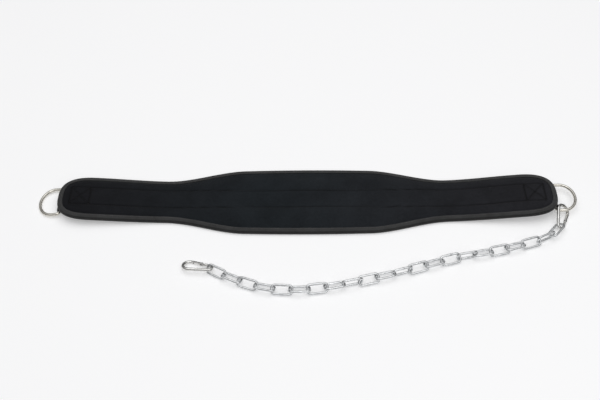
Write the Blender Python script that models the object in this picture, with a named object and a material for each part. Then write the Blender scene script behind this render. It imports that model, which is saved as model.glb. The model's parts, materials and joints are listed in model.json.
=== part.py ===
"""Dip belt lying open on a table, lining up, with its chain laid out in front of it.

Metres, +Z up. The origin is on the table under the middle of the belt, +X runs along
the belt to the end that carries the chain, and -Y points to the side where the chain lies.
"""
import math

import bmesh
import bpy
import numpy as np
from mathutils import Matrix

# Gaps between pieces that touch, and the freer gap round a link's wire
GAP = 0.0003
LINK_GAP = 0.0006

# Padded body and its outline
PAD_LENGTH = 0.793
MIDDLE_WIDTH = 0.138
MIDDLE_CROWN = 0.0015      # how far each long edge bows out between the shoulders
NECK_WIDTH = 0.088
FLARE_WIDTH = 0.090
SHOULDER_START = 0.095     # from the middle to where each shoulder begins
SHOULDER_END = 0.225
FLARE_AT = 0.325
END_ROUND = 0.060          # length of the rounding at each end
END_POWER = 2.8            # 2 is an ellipse, more is squarer
PAD_THICKNESS = 0.0090
RIM_THICKNESS = 0.0036     # the padding where the binding pinches it
SEAM_SPACING = 0.037       # between the two long seams that hold the strap
SEAM_WIDTH = 0.0050
SEAM_DEPTH = 0.0014

# Tape folded round the rim
TAPE_THICKNESS = 0.0012
TAPE_FOLD = 0.0070         # width of tape that shows on each face

# Load strap under the pad
STRAP_WIDTH = 0.042
STRAP_THICKNESS = 0.0020
STRAP_FOLD_BACK = 0.045    # length sewn back under the strap past each ring
STRAP_DIP = 0.010          # length over which the strap dips to pass under the tape
LOOP_HEIGHT_LEFT = 0.0012  # from the table to the underside of each ring's loop
LOOP_HEIGHT_RIGHT = 0.0050
LIFT_START = 0.205         # the belt lies flat as far as this from the middle

# D-rings
RING_WIRE = 0.0050
RING_INSIDE = 0.050
RING_REACH = 0.0345        # bar to top of the bow, between wire centres
RING_LEG = 0.013
RING_CORNER = 0.0055
BAR_INSET = 0.0045         # from the tip of the belt in to the ring's bar
RIGHT_RING_RISE = 0.0014   # the hook under it holds up the bow of the right ring

# Snap hooks, both alike
HOOK_LENGTH = 0.050
HOOK_WIRE = 0.0050
HOOK_WIDE = 0.025
HOOK_NARROW = 0.016
GATE_WIDTH = 0.0046
NOSE_LENGTH = 0.0027       # flattened tip of the wire, held between the gate's cheeks
PIVOT_AT = 0.0130          # from the foot of the gate's leg to the rivet
TONGUE_THICKNESS = 0.0020
SLOT_RELIEF = 0.0006
RIVET_RADIUS = 0.0011
RIVET_HEAD = 0.0003

# How the waist hook stands in its ring: its gate's leg lies on the table
WAIST_FROM_BAR = 0.0181
WAIST_FROM_LEG = -0.0041
WAIST_HEADING = 66.0

# How the end hook lies
END_HEADING = 159.0
END_TILT = 16.0
END_RISE = 6.0

# Chain
LINK_WIRE = 0.0038
LINK_LENGTH_INSIDE = 0.0268
LINK_WIDTH_INSIDE = 0.0098
LINK_CORNER = 0.0046       # at the wire's centre
LINK_COUNT = 22
WAIST_SEAT = -0.0005       # from the middle of the waist hook's narrow end to the chain's start
END_SEAT = 0.0013          # from the chain's end to the middle of the end hook's narrow end

# How a link comes to lie: its roll about its length in degrees, far side up, and then, as
# shares of the link's wire, how far it sits along the chain and to the side, and how far its
# neighbours hold it off the table
LINK_LIES = {
    "leans": (38.0, 0.0, -0.184, 0.211),
    "lies": (-20.0, 0.0, 0.184, 0.579),
    "stands": (97.0, 0.0, -0.211, 0.0),
    "hangs": (-21.5, 0.158, -0.105, 0.763),
    "turns": (48.0, -0.026, -0.132, 0.053),
}
CHAIN_LIES = (
    "hangs", "stands", "leans", "lies", "leans", "lies", "stands", "leans", "lies", "leans", "stands",
    "lies", "leans", "stands", "lies", "leans", "lies", "leans", "lies", "leans", "lies", "turns",
)

# Route of the chain's middle line from the waist hook, as shares of the chain's length
CHAIN_ROUTE = (
    (0.000, 0.000), (-0.041, -0.044), (-0.084, -0.060), (-0.171, -0.087), (-0.302, -0.116),
    (-0.432, -0.158), (-0.562, -0.194), (-0.693, -0.218), (-0.783, -0.215), (-0.868, -0.187),
    (-0.946, -0.145),
)

# Heights across the pad's top, outwards from its middle line: (across, height).
# "across" is a share of the way from the seam to the tape's inner edge, height a share
# of the pad's thickness.
TOP_SWELL = ((0.45, 1.00), (0.85, 0.93))
SEAM_SWELL = 0.975         # height beside each seam, as a share of the pad's thickness
TAPE_SWELL = 0.60          # height under the tape's inner edge

OUTLINE_SIDE_STEPS = 27
OUTLINE_END_STEPS = 12


def smooth(share):
    """Eases from 0 to 1."""
    share = np.clip(share, 0, 1)
    return share * share * (3 - 2 * share)


# Heights along the belt
STRAP_STACK = 2 * STRAP_THICKNESS + RING_WIRE + 3 * GAP
END_LIFTS = {-1: LOOP_HEIGHT_LEFT + STRAP_STACK, 1: LOOP_HEIGHT_RIGHT + STRAP_STACK}
HALF_LENGTH = PAD_LENGTH / 2
BAR_X = HALF_LENGTH - BAR_INSET
SPINE_END = HALF_LENGTH - 0.45 * FLARE_WIDTH
UNDERSIDE = STRAP_THICKNESS + 2 * GAP      # pad over its strap
RIM_BASE = TAPE_THICKNESS + GAP            # pad over its tape


def lift(x):
    """How far the belt stands off the table at x: its two ends curl up."""
    x = np.asarray(x, float)
    eased = smooth((np.abs(x) - LIFT_START) / (HALF_LENGTH - LIFT_START))
    return eased * np.where(x < 0, END_LIFTS[-1], END_LIFTS[1])


def half_width(x):
    """Half of the belt's width at x, before its ends are rounded."""
    far = np.abs(x)
    middle = MIDDLE_WIDTH / 2 - MIDDLE_CROWN * np.clip(far / SHOULDER_START, 0, 1) ** 2
    shoulder = smooth((far - SHOULDER_START) / (SHOULDER_END - SHOULDER_START))
    flare = smooth((far - SHOULDER_END) / (FLARE_AT - SHOULDER_END))
    return middle + (NECK_WIDTH / 2 - middle) * shoulder + (FLARE_WIDTH - NECK_WIDTH) / 2 * flare


def belt_outline():
    """Points round the belt's rim, anticlockwise, and the middle-line point that each one faces."""
    straight = HALF_LENGTH - END_ROUND
    turn = np.radians(np.linspace(-90, 90, OUTLINE_END_STEPS + 1))
    along = END_ROUND * np.cos(turn).clip(0) ** (2 / END_POWER)
    across = FLARE_WIDTH / 2 * np.sign(np.sin(turn)) * np.abs(np.sin(turn)) ** (2 / END_POWER)
    end = np.stack([straight + along, across], 1)
    side_x = np.linspace(straight, -straight, OUTLINE_SIDE_STEPS + 1)[1:-1]
    side = np.stack([side_x, half_width(side_x)], 1)
    rim = np.concatenate([end, side, -end, -side])
    facing = np.stack([np.clip(rim[:, 0], -SPINE_END, SPINE_END), np.zeros(len(rim))], 1)
    return rim, facing


def rim_loop(height, inset=None, reach=None):
    """One loop round the belt at a height above its underside.

    It lies inset from the rim, or at the distance reach from the middle line.
    """
    rim, facing = belt_outline()
    across = rim - facing
    length = np.linalg.norm(across, axis=1)[:, None]
    distance = length - inset if reach is None else np.full_like(length, reach)
    flat = facing + across / length * distance
    return np.column_stack([flat, lift(flat[:, 0]) + height])


def new_object(name, verts, faces, material, smooth_angle=None):
    """A mesh object made of points and faces, welded and turned to face outwards."""
    shape = bmesh.new()
    points = [shape.verts.new(point) for point in verts]
    for face in faces:
        shape.faces.new([points[i] for i in face])
    bmesh.ops.remove_doubles(shape, verts=shape.verts, dist=0.000001)
    bmesh.ops.dissolve_degenerate(shape, edges=shape.edges, dist=0.000001)
    bmesh.ops.recalc_face_normals(shape, faces=shape.faces)
    mesh = bpy.data.meshes.new(name)
    shape.to_mesh(mesh)
    shape.free()
    mesh.materials.append(material)
    if smooth_angle is not None:
        mesh.shade_smooth()
        mesh.set_sharp_from_angle(angle=math.radians(smooth_angle))
    piece = bpy.data.objects.new(name, mesh)
    bpy.context.scene.collection.objects.link(piece)
    return piece


def grid_faces(rows, columns, close_rows, close_columns):
    """Quads between rows of points, each row a loop or a strip."""
    faces = []
    for row in range(rows if close_rows else rows - 1):
        for column in range(columns if close_columns else columns - 1):
            after_row, after_column = (row + 1) % rows, (column + 1) % columns
            faces.append((
                row * columns + column, row * columns + after_column,
                after_row * columns + after_column, after_row * columns + column,
            ))
    return faces


def wire_rows(centres, tangents, normal, half_in_plane, half_normal, sides):
    """Sections of a wire bent in one plane, one row of points for each centre."""
    centres, tangents = np.asarray(centres), np.asarray(tangents)
    tangents = tangents / np.linalg.norm(tangents, axis=1)[:, None]
    inwards = np.cross(np.asarray(normal), tangents)
    turn = 2 * math.pi * (np.arange(sides) + 0.5) / sides
    half_in_plane = np.broadcast_to(half_in_plane, len(centres))
    half_normal = np.broadcast_to(half_normal, len(centres))
    return (
        centres[:, None]
        + half_in_plane[:, None, None] * np.cos(turn)[None, :, None] * inwards[:, None]
        + half_normal[:, None, None] * np.sin(turn)[None, :, None] * np.asarray(normal)[None, None]
    )


def make_material(name, colour, roughness, metallic=0.0):
    material = bpy.data.materials.new(name)
    material.use_nodes = True
    shader = material.node_tree.nodes["Principled BSDF"]
    shader.inputs["Base Color"].default_value = (*colour, 1.0)
    shader.inputs["Roughness"].default_value = roughness
    shader.inputs["Metallic"].default_value = metallic
    return material


def make_pad(material):
    """The padded body: swollen between its seams and pinched thin at the rim."""
    tape_edge = TAPE_FOLD + GAP
    rim_inset = TAPE_THICKNESS + GAP
    seam = SEAM_SPACING / 2
    top = UNDERSIDE + PAD_THICKNESS
    beside_seam = UNDERSIDE + SEAM_SWELL * PAD_THICKNESS
    rim, facing = belt_outline()
    reach_of_tape = np.linalg.norm(rim - facing, axis=1)[:, None] - tape_edge
    outer_seam = seam + SEAM_WIDTH / 2

    loops = [
        rim_loop(top, reach=0.0),
        rim_loop(beside_seam, reach=seam - SEAM_WIDTH / 2),
        rim_loop(beside_seam - SEAM_DEPTH, reach=seam),
        rim_loop(beside_seam, reach=outer_seam),
    ]
    for across, height in TOP_SWELL:
        inset = tape_edge + (1 - across) * (reach_of_tape - outer_seam)
        loops.append(rim_loop(UNDERSIDE + height * PAD_THICKNESS, inset=inset))
    loops += [
        rim_loop(UNDERSIDE + TAPE_SWELL * PAD_THICKNESS, inset=tape_edge),
        rim_loop(RIM_BASE + RIM_THICKNESS, inset=rim_inset + RIM_THICKNESS / 4),
        rim_loop(RIM_BASE + RIM_THICKNESS / 2, inset=rim_inset),
        rim_loop(RIM_BASE, inset=rim_inset + RIM_THICKNESS / 4),
        rim_loop(RIM_BASE, inset=tape_edge),
        rim_loop(UNDERSIDE, inset=tape_edge + UNDERSIDE),
        rim_loop(UNDERSIDE, reach=0.0),
    ]
    faces = grid_faces(len(loops), len(loops[0]), False, True)
    return new_object("pad", np.concatenate(loops), faces, material, 40)


def make_binding(material):
    """Tape folded round the rim: its section is a U that opens towards the pad."""
    edge_top = RIM_BASE + RIM_THICKNESS + GAP
    fold_top = UNDERSIDE + TAPE_SWELL * PAD_THICKNESS + GAP
    middle = RIM_BASE + RIM_THICKNESS / 2
    outer, inner = RIM_THICKNESS / 4 + TAPE_THICKNESS, RIM_THICKNESS / 4 + TAPE_THICKNESS
    loops = [
        rim_loop(fold_top + TAPE_THICKNESS, inset=TAPE_FOLD),
        rim_loop(edge_top + TAPE_THICKNESS, inset=outer),
        rim_loop(middle + RIM_THICKNESS / 4, inset=0.0),
        rim_loop(middle - RIM_THICKNESS / 4, inset=0.0),
        rim_loop(0.0, inset=outer),
        rim_loop(0.0, inset=TAPE_FOLD),
        rim_loop(TAPE_THICKNESS, inset=TAPE_FOLD),
        rim_loop(TAPE_THICKNESS, inset=inner),
        rim_loop(middle, inset=TAPE_THICKNESS),
        rim_loop(edge_top, inset=inner),
        rim_loop(fold_top, inset=TAPE_FOLD),
    ]
    faces = grid_faces(len(loops), len(loops[0]), True, True)
    return new_object("edge_binding", np.concatenate(loops), faces, material, 50)


def bar_height(side):
    """Height of a ring's bar: it hangs in the strap's loop under the end of the belt."""
    return float(lift(side * BAR_X)) - 2 * GAP - STRAP_THICKNESS - RING_WIRE / 2


def strap_half(side):
    """Middle line of half the strap in x and z, from the belt's middle round a ring's bar and back."""
    tape_reach = HALF_LENGTH - SPINE_END - TAPE_FOLD - GAP
    dip_end = SPINE_END + math.sqrt(tape_reach**2 - (STRAP_WIDTH / 2) ** 2)
    half = STRAP_THICKNESS / 2
    dip = STRAP_THICKNESS + GAP
    bow = RING_WIRE / 2 + GAP + half
    centre = bar_height(side)

    def main_height(x):
        return lift(side * x) + half - dip * smooth((x - dip_end + STRAP_DIP) / STRAP_DIP)

    def back_height(x):
        return main_height(x) - STRAP_THICKNESS - 2 * GAP

    flat_x = np.linspace(0, LIFT_START, 3)
    rising_x = np.linspace(LIFT_START, dip_end - STRAP_DIP, 9)[1:]
    dipping_x = np.linspace(dip_end - STRAP_DIP, dip_end, 5)[1:]
    out_x = np.concatenate([flat_x, rising_x, dipping_x])
    out = np.column_stack([out_x, main_height(out_x)])
    meet = np.array([dip_end, back_height(dip_end)])
    from_bar = meet - (BAR_X, centre)
    leaves = np.degrees(np.arctan2(*from_bar[::-1]) + np.arccos(bow / np.linalg.norm(from_bar))) - 360
    turn = np.radians(np.linspace(90, leaves, 13))
    round_bar = np.column_stack([BAR_X + bow * np.cos(turn), centre + bow * np.sin(turn)])
    back_x = np.linspace(dip_end, BAR_X - STRAP_FOLD_BACK, 7)
    back = np.column_stack([back_x, back_height(back_x)])
    return np.concatenate([out, round_bar, back])


def make_strap(material):
    """The load strap: a flat band along the underside with a loop round each ring's bar."""
    left, right = strap_half(-1), strap_half(1)
    left[:, 0] *= -1
    line = np.concatenate([left[:0:-1], right])
    step = np.gradient(line, axis=0)
    step /= np.linalg.norm(step, axis=1)[:, None]
    across = np.stack([-step[:, 1], step[:, 0]], 1) * STRAP_THICKNESS / 2
    rows = []
    for edge, y in ((across, -1), (across, 1), (-across, 1), (-across, -1)):
        face = line + edge
        rows.append(np.column_stack([face[:, 0], np.full(len(face), y * STRAP_WIDTH / 2), face[:, 1]]))
    verts = np.stack(rows, 1).reshape(-1, 3)
    faces = grid_faces(len(line), 4, False, True)
    last = (len(line) - 1) * 4
    faces += [(0, 1, 2, 3), (last + 3, last + 2, last + 1, last)]
    return new_object("strap_webbing", verts, faces, material, 30)


def ring_line():
    """Middle line of a D-ring, flat: x away from its bar, y along the bar."""
    half = (RING_INSIDE + RING_WIRE) / 2
    corner = np.radians(np.linspace(180, 270, 4))
    near = np.column_stack([
        RING_CORNER * (1 + np.cos(corner)), RING_CORNER * (1 + np.sin(corner)) - half,
    ])
    bow = np.radians(np.linspace(-90, 90, 17))
    arc = np.column_stack([RING_LEG + (RING_REACH - RING_LEG) * np.cos(bow), half * np.sin(bow)])
    far = near[::-1] * (1, -1)
    return np.concatenate([near, arc, far])


def make_ring(side, drop, material):
    """A D-ring on its bar; drop is how far its bow hangs below the bar."""
    line = ring_line()
    slope = math.asin(drop / RING_REACH)
    away = np.array([side * math.cos(slope), 0.0, -math.sin(slope)])
    normal = np.array([side * math.sin(slope), 0.0, math.cos(slope)])
    centres = line[:, :1] * away + line[:, 1:] * np.array([0.0, 1.0, 0.0])
    tangents = np.roll(centres, -1, 0) - np.roll(centres, 1, 0)
    rows = wire_rows(centres, tangents, normal, RING_WIRE / 2, RING_WIRE / 2, 8)
    faces = grid_faces(len(centres), 8, True, True)
    name = "d_ring_left" if side < 0 else "d_ring_right"
    ring = new_object(name, rows.reshape(-1, 3), faces, material, 60)
    ring.location = (side * BAR_X, 0.0, bar_height(side))
    return ring


# A snap hook, flat: u runs from its narrow end to its wide end, the gate is on the side of -v
WIDE_RADIUS = (HOOK_WIDE - HOOK_WIRE) / 2
NARROW_RADIUS = (HOOK_NARROW - HOOK_WIRE) / 2
HOOK_SPAN = HOOK_LENGTH - HOOK_WIRE - WIDE_RADIUS - NARROW_RADIUS
LEG_ANGLE = math.asin((WIDE_RADIUS - NARROW_RADIUS) / HOOK_SPAN)
LEG_LENGTH = HOOK_SPAN * math.cos(LEG_ANGLE)
RIVET_REACH = math.hypot(HOOK_WIRE / 2 + RIVET_HEAD, RIVET_RADIUS)


def gate_point(along, inwards=0.0):
    """A point beside the gate's leg, measured from the leg's foot."""
    direction = np.array([math.cos(LEG_ANGLE), -math.sin(LEG_ANGLE)])
    inward = np.array([math.sin(LEG_ANGLE), math.cos(LEG_ANGLE)])
    foot = -NARROW_RADIUS * inward
    return foot + along * direction + inwards * inward


def hook_line():
    """Middle line of the hook's wire from its nose to its tongue, and its half thicknesses."""
    nose_tip = LEG_LENGTH - NOSE_LENGTH
    flat_start = LEG_LENGTH + 2 * GAP
    tongue_back = PIVOT_AT - GATE_WIDTH / 2 - 2 * GAP
    tongue_tip = PIVOT_AT + GATE_WIDTH / 2 - GAP
    blend = HOOK_WIRE / 5
    thin, full = TONGUE_THICKNESS / 2, HOOK_WIRE / 2
    narrow = GATE_WIDTH / 2 - GAP

    rows = [(*gate_point(nose_tip), narrow * 0.8, thin), (*gate_point(flat_start), narrow, thin)]
    edge = math.pi / 2 + LEG_ANGLE
    start = -edge + (flat_start + blend - LEG_LENGTH) / WIDE_RADIUS
    for angle in np.linspace(start, edge, 11):
        rows.append((HOOK_SPAN + WIDE_RADIUS * math.cos(angle), WIDE_RADIUS * math.sin(angle), full, full))
    for angle in np.linspace(edge, 2 * math.pi - edge, 8):
        rows.append((NARROW_RADIUS * math.cos(angle), NARROW_RADIUS * math.sin(angle), full, full))
    rows.append((*gate_point(tongue_back - blend), full, full))
    rows.append((*gate_point(tongue_back), narrow, thin))
    rows.append((*gate_point(PIVOT_AT + narrow / 2), narrow, thin))
    rows.append((*gate_point(tongue_tip), narrow * 0.7, thin))
    return np.array(rows)


def hook_frame(heading, tilt, rise):
    """Axes of a hook: its gate's leg heads one way, its spine is tilted up, its narrow end raised."""
    h, t, r = np.radians([heading, tilt, rise])
    turn = np.array([[math.cos(h), -math.sin(h), 0], [math.sin(h), math.cos(h), 0], [0, 0, 1]])
    pitch = np.array([[math.cos(r), 0, math.sin(r)], [0, 1, 0], [-math.sin(r), 0, math.cos(r)]])
    roll = np.array([[1, 0, 0], [0, math.cos(t), -math.sin(t)], [0, math.sin(t), math.cos(t)]])
    leg = np.array([
        [math.cos(LEG_ANGLE), -math.sin(LEG_ANGLE), 0],
        [math.sin(LEG_ANGLE), math.cos(LEG_ANGLE), 0], [0, 0, 1],
    ])
    return turn @ pitch @ roll @ leg


def cylinder_between(name, radius, low, high, sides):
    """A plain round cutter or pin along z at the origin."""
    turn = 2 * math.pi * np.arange(sides) / sides
    ring = np.stack([radius * np.cos(turn), radius * np.sin(turn)], 1)
    verts = [(*point, low) for point in ring] + [(*point, high) for point in ring]
    faces = grid_faces(2, sides, False, True)
    faces += [tuple(range(sides - 1, -1, -1)), tuple(range(sides, 2 * sides))]
    return new_object(name, verts, faces, None)


def box_between(name, low, high):
    """A plain block cutter."""
    verts = [(x, y, z) for x in (low[0], high[0]) for y in (low[1], high[1]) for z in (low[2], high[2])]
    faces = [(0, 1, 3, 2), (4, 6, 7, 5), (0, 4, 5, 1), (2, 3, 7, 6), (0, 2, 6, 4), (1, 5, 7, 3)]
    return new_object(name, verts, faces, None)


def join_by(piece, other, operation):
    """Applies a Boolean to a piece and removes the other shape."""
    cut = piece.modifiers.new(operation.lower(), "BOOLEAN")
    cut.operation = operation
    cut.object = other
    bpy.context.view_layer.update()
    evaluated = piece.evaluated_get(bpy.context.evaluated_depsgraph_get())
    mesh = bpy.data.meshes.new_from_object(evaluated)
    piece.modifiers.clear()
    old = piece.data
    piece.data = mesh
    mesh.name = piece.name
    bpy.data.meshes.remove(old)
    bpy.data.meshes.remove(other.data)


def cut_slot(gate, start, end):
    """Opens the gate between its two cheeks from start to end."""
    half = TONGUE_THICKNESS / 2 + GAP
    slot = box_between("slot", (start, -GATE_WIDTH, -half), (end, GATE_WIDTH, half))
    join_by(gate, slot, "DIFFERENCE")


def make_gate(name, material):
    """The gate, its rivet at the origin and its length along x, with cheeks at both ends."""
    half = GATE_WIDTH / 2
    tip = LEG_LENGTH - PIVOT_AT
    sections = [
        (-half, half * 0.35), (-half * 0.7, half * 0.75), (0, half),
        (tip - half / 2, half), (tip, half * 0.7),
    ]
    along, across = np.array(sections).T
    centres = np.column_stack([along, np.zeros(len(along)), np.zeros(len(along))])
    tangents = np.tile((1.0, 0.0, 0.0), (len(along), 1))
    rows = wire_rows(centres, tangents, (0, 0, 1), across, HOOK_WIRE / 2, 8)
    faces = grid_faces(len(along), 8, False, True)
    last = (len(along) - 1) * 8
    faces += [tuple(range(7, -1, -1)), tuple(range(last, last + 8))]
    gate = new_object(name, rows.reshape(-1, 3), faces, material, 40)
    cut_slot(gate, -HOOK_WIRE, half - GAP + SLOT_RELIEF)
    cut_slot(gate, tip - NOSE_LENGTH - SLOT_RELIEF, tip + HOOK_WIRE)
    reach = HOOK_WIRE / 2 + RIVET_HEAD
    join_by(gate, cylinder_between("rivet", RIVET_RADIUS, -reach, reach, 12), "UNION")
    return gate


def make_hook(prefix, axes, origin, material):
    """A snap hook: its bent wire, and its gate with the rivet that it turns on.

    The origin is the middle of the hook's narrow end.
    """
    rows = hook_line()
    centres = np.column_stack([rows[:, :2], np.zeros(len(rows))])
    tangents = np.gradient(centres, axis=0)
    sections = wire_rows(centres, tangents, (0, 0, 1), rows[:, 2], rows[:, 3], 8)
    faces = grid_faces(len(rows), 8, False, True)
    last = (len(rows) - 1) * 8
    faces += [tuple(range(7, -1, -1)), tuple(range(last, last + 8))]
    pivot = np.array([*gate_point(PIVOT_AT), 0.0])
    verts = sections.reshape(-1, 3) - pivot
    body = new_object(f"{prefix}_body", verts, faces, material, 60)
    hole = cylinder_between("rivet_hole", RIVET_RADIUS + GAP, -HOOK_WIRE, HOOK_WIRE, 12)
    join_by(body, hole, "DIFFERENCE")
    gate = make_gate(f"{prefix}_gate", material)
    place = Matrix.Translation(origin + axes @ pivot) @ Matrix(axes.tolist()).to_4x4()
    body.matrix_world = place
    gate.matrix_world = place @ Matrix.Rotation(-LEG_ANGLE, 4, "Z")


def waist_hook_tilt():
    """Tilt that carries the hook's spine over the ring's leg while its rivet stays on the table."""
    over_ring = bar_height(1) + (RING_WIRE + HOOK_WIRE) / 2 + LINK_GAP
    return math.degrees(math.asin((over_ring - RIVET_REACH) / (2 * WIDE_RADIUS)))


def waist_hook_place():
    """Axes of the waist hook, and the middle of its narrow end."""
    axes = hook_frame(WAIST_HEADING, waist_hook_tilt(), 0.0)
    ring_leg_y = -(RING_INSIDE + RING_WIRE) / 2
    top_of_leg = axes @ np.array([*gate_point(LEG_LENGTH), 0.0])
    foot = np.array([BAR_X + WAIST_FROM_BAR, ring_leg_y + WAIST_FROM_LEG, RIVET_REACH])
    return axes, foot - top_of_leg


def smooth_route(points):
    """A close row of points on a smooth curve through the route's own points."""
    length = np.concatenate([[0], np.cumsum(np.linalg.norm(np.diff(points, axis=0), axis=1))])
    slope = np.gradient(points, length, axis=0)
    t = np.linspace(0, 1, 60, endpoint=False)[:, None]
    rows = []
    for i in range(len(points) - 1):
        span = length[i + 1] - length[i]
        rows.append(
            (2 * t**3 - 3 * t**2 + 1) * points[i] + (t**3 - 2 * t**2 + t) * span * slope[i]
            + (3 * t**2 - 2 * t**3) * points[i + 1] + (t**3 - t**2) * span * slope[i + 1]
        )
    beyond = points[-1] + slope[-1] / np.linalg.norm(slope[-1]) * LINK_LENGTH_INSIDE * LINK_COUNT
    return np.concatenate([*rows, points[-1:], beyond[None]])


def chain_joints(start):
    """Points where links meet, a link's pitch apart along the route."""
    pitch = LINK_LENGTH_INSIDE - LINK_GAP
    route = smooth_route(np.array(CHAIN_ROUTE) * pitch * LINK_COUNT) + start
    joints = [route[0]]
    index = 0
    while len(joints) <= LINK_COUNT:
        while np.linalg.norm(route[index + 1] - joints[-1]) < pitch:
            index += 1
        near, far = route[index], route[index + 1]
        step = far - near
        offset = near - joints[-1]
        a, b, c = step @ step, 2 * step @ offset, offset @ offset - pitch * pitch
        joints.append(near + step * (-b + math.sqrt(b * b - 4 * a * c)) / (2 * a))
    return np.array(joints)


def link_line():
    """Middle line of a link's wire, flat: an oblong with round corners, its length along x."""
    half_length = (LINK_LENGTH_INSIDE + LINK_WIRE) / 2
    half_width = (LINK_WIDTH_INSIDE + LINK_WIRE) / 2
    corner = np.radians(np.linspace(0, 90, 4))
    quarter = np.column_stack([
        half_length - LINK_CORNER + LINK_CORNER * np.cos(corner),
        half_width - LINK_CORNER + LINK_CORNER * np.sin(corner),
    ])
    upper = np.concatenate([quarter, quarter[::-1] * (-1, 1)])
    return np.concatenate([upper, -upper])


def make_link(number, start, end, lie, material):
    """One link from joint to joint, rolled about its length and resting low."""
    roll, along, sideways, raised = LINK_LIES[lie]
    heading = np.array([*(end - start), 0.0]) / np.linalg.norm(end - start)
    right = np.cross(heading, (0.0, 0.0, 1.0))
    turn = math.radians(roll)
    across = right * math.cos(turn) + np.array([0.0, 0.0, math.sin(turn)])
    normal = np.cross(heading, across)
    flat = link_line()
    centres = flat[:, :1] * heading + flat[:, 1:] * across
    tangents = np.roll(centres, -1, 0) - np.roll(centres, 1, 0)
    sections = wire_rows(centres, tangents, normal, LINK_WIRE / 2, LINK_WIRE / 2, 6)
    faces = grid_faces(len(centres), 6, True, True)
    link = new_object(f"chain_link_{number:02d}", sections.reshape(-1, 3), faces, material, 60)
    half_width = (LINK_WIDTH_INSIDE + LINK_WIRE) / 2
    height = LINK_WIRE / 2 + half_width * abs(math.sin(turn)) + raised * LINK_WIRE
    offset = (heading[:2] * along + right[:2] * sideways) * LINK_WIRE
    link.location = (*((start + end) / 2 + offset), height)
    return link


def make_belt():
    for old in list(bpy.data.objects):
        bpy.data.objects.remove(old, do_unlink=True)
    lining = make_material("lining", (0.014, 0.016, 0.020), 0.95)
    tape = make_material("binding_tape", (0.045, 0.046, 0.050), 0.8)
    webbing = make_material("webbing", (0.012, 0.012, 0.013), 0.75)
    nickel = make_material("ring_steel", (0.62, 0.60, 0.56), 0.25, 1.0)
    zinc = make_material("chain_zinc", (0.72, 0.73, 0.74), 0.32, 1.0)
    hook_zinc = make_material("hook_zinc", (0.70, 0.70, 0.70), 0.30, 1.0)

    make_pad(lining)
    make_binding(tape)
    make_strap(webbing)
    make_ring(-1, bar_height(-1) - RING_WIRE / 2, nickel)
    make_ring(1, -RIGHT_RING_RISE, nickel)

    axes, waist = waist_hook_place()
    make_hook("waist_hook", axes, waist, hook_zinc)
    first = np.array(CHAIN_ROUTE[1]) / np.linalg.norm(CHAIN_ROUTE[1])
    joints = chain_joints(waist[:2] + first * WAIST_SEAT)
    for number, lie in enumerate(CHAIN_LIES, 1):
        make_link(number, joints[number - 1], joints[number], lie, zinc)

    last = (joints[-1] - joints[-2]) / np.linalg.norm(joints[-1] - joints[-2])
    axes = hook_frame(END_HEADING, END_TILT, END_RISE)
    low = (hook_line()[:, :2] @ axes[2, :2]).min()
    end = joints[-1] + last * END_SEAT
    make_hook("end_hook", axes, np.array([*end, HOOK_WIRE / 2 - low]), hook_zinc)
    bpy.context.view_layer.update()


make_belt()
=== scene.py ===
# Dip belt dressed for its photograph: padded belt, D-rings, snap hooks and chain
import json
import math

import bmesh
import bpy
import numpy as np
from mathutils import Matrix, Vector

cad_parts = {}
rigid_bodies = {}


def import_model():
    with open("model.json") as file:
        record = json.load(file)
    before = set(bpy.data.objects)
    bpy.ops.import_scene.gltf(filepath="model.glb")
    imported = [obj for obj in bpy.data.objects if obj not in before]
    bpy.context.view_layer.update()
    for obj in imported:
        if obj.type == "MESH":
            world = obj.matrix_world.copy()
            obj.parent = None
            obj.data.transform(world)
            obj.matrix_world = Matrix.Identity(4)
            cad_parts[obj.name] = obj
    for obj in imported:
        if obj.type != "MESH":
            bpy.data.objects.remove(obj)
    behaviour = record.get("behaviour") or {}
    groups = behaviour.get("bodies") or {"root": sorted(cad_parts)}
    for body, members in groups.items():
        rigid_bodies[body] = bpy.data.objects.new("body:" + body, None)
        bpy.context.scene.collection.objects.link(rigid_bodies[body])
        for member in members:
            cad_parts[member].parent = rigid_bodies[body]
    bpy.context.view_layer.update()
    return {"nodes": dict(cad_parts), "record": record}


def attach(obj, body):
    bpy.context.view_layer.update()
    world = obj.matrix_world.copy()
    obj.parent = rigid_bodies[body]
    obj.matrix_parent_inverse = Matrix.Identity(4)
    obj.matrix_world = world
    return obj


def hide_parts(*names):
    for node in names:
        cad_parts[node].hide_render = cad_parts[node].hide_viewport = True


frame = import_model()
print("frame loaded:", len(frame["nodes"]), "nodes")


# Camera and light: angles in degrees, lengths in metres, the lens in millimetres, power in watts
view = {"elevation": 46.26, "distance": 1.61, "lens": 60.13, "target": (-0.0116, 0.0069, 0.0), "roll": -0.255}

lift = math.radians(view["elevation"])
target = Vector(view["target"])
cameraData = bpy.data.cameras.new("camera")
camera = bpy.data.objects.new("camera", cameraData)
bpy.context.scene.collection.objects.link(camera)
cameraData.lens = view["lens"]
camera.location = target + view["distance"] * Vector((0, -math.cos(lift), math.sin(lift)))
facing = (target - camera.location).to_track_quat("-Z", "Y").to_matrix().to_4x4()
turned = facing @ Matrix.Rotation(math.radians(view["roll"]), 4, "Z")
camera.rotation_euler = turned.to_euler()
bpy.context.scene.camera = camera
bpy.context.scene.view_settings.view_transform = "Standard"

# skyLow and skyHigh are where the sky starts and stops to brighten, from 0 at the horizon to 1 overhead
studio = {
    "overheadPlace": (0, 0.25, 2.6), "overheadSize": 3.4, "overheadPower": 24.0,
    "frontPlace": (0.9, -1.7, 1.5), "frontSize": 1.2, "frontPower": 5.0,
    "skyHorizon": (0.03, 0.03, 0.03), "skyTop": (0.62, 0.62, 0.6262), "skyLow": 0.30, "skyHigh": 0.85,
}


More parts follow.
